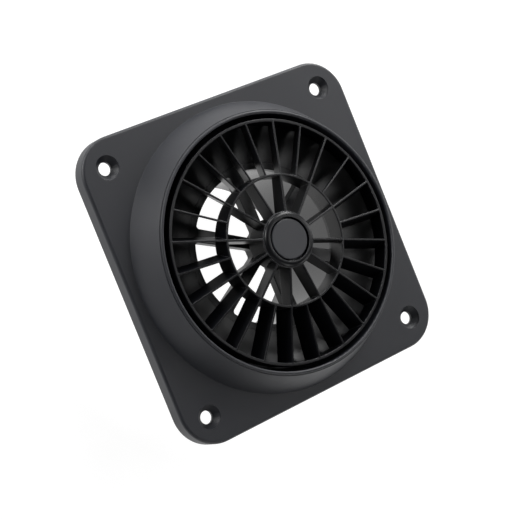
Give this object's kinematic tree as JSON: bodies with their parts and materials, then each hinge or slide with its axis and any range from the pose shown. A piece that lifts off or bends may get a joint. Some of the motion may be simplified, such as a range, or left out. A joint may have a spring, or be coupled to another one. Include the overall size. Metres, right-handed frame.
{
  "type": "square-flanged solar attic ventilation fan",
  "caption": "Square-flanged ventilation fan: a vaned wheel on a hub motor turns in a raised round cowl above a short round duct, with a captive low-voltage lead.",
  "frame": {"origin": "fan axis in the plane of the flange's rear rim, where the fan meets the panel it is fastened to", "axes": "+Z along the fan axis, out of the front that people see; +X and +Y along the flange's sides"},
  "size_m": [0.147, 0.147, 0.0777],
  "materials": {
    "black_shell": "fine matte moulded texture, charcoal black",
    "black_bracket": "matte moulded black",
    "black_wheel": "satin moulded black, brighter on the rib edges",
    "black_cap": "satin moulded black",
    "screw_steel": "zinc plated",
    "foam": "closed-cell foam",
    "yoke_steel": "zinc plated, drawn",
    "magnet": "plastic-bonded ferrite, dark grey",
    "shaft_steel": "ground and polished",
    "brass": "turned",
    "white_nylon": "natural nylon",
    "clip_steel": "phosphated spring steel",
    "sintered_bronze": "oil-impregnated sintered bronze",
    "core_steel": "stamped laminations",
    "copper_wire": null,
    "green_board": "solder resist on glass-filled laminate",
    "black_epoxy": "moulded epoxy",
    "red_pvc": "soft PVC insulation",
    "black_pvc": "soft PVC sheath",
    "black_rubber": "soft rubber",
    "plated_contact": "nickel plated"
  },
  "bodies": {
    "housing": {"bearing_cap": "black_bracket", "bell_mouth": "black_shell", "black_wire": "black_pvc", "board_components": "black_epoxy", "board_screws": "screw_steel", "driver_board": "green_board", "duct_screws": "screw_steel", "face_housing": "black_shell", "front_bush": "sintered_bronze", "housing_screws": "screw_steel", "motor_bracket": "black_bracket", "plug_contact": "plated_contact", "plug_grip": "black_pvc", "plug_insulator": "black_epoxy", "plug_sleeve": "plated_contact", "power_cable": "black_pvc", "rear_bush": "sintered_bronze", "rear_duct": "black_shell", "red_wire": "red_pvc", "stator_core": "core_steel", "stator_insulator": "white_nylon", "stator_windings": "copper_wire", "weather_gasket": "foam", "wire_grommet": "black_rubber"},
    "rotor": {"impeller": "black_wheel", "hub_cap": "black_cap", "rotor_yoke": "yoke_steel", "ring_magnet": "magnet", "shaft": "shaft_steel", "shaft_insert": "brass", "thrust_washer": "white_nylon", "retaining_clip": "clip_steel"}
  },
  "joints": [
    {"name": "impeller_spin", "type": "hinge", "parent": "housing", "child": "rotor", "pos_m": [0, 0, 0.0157], "axis": [0, 0, 1], "continuous": true}
  ]
}
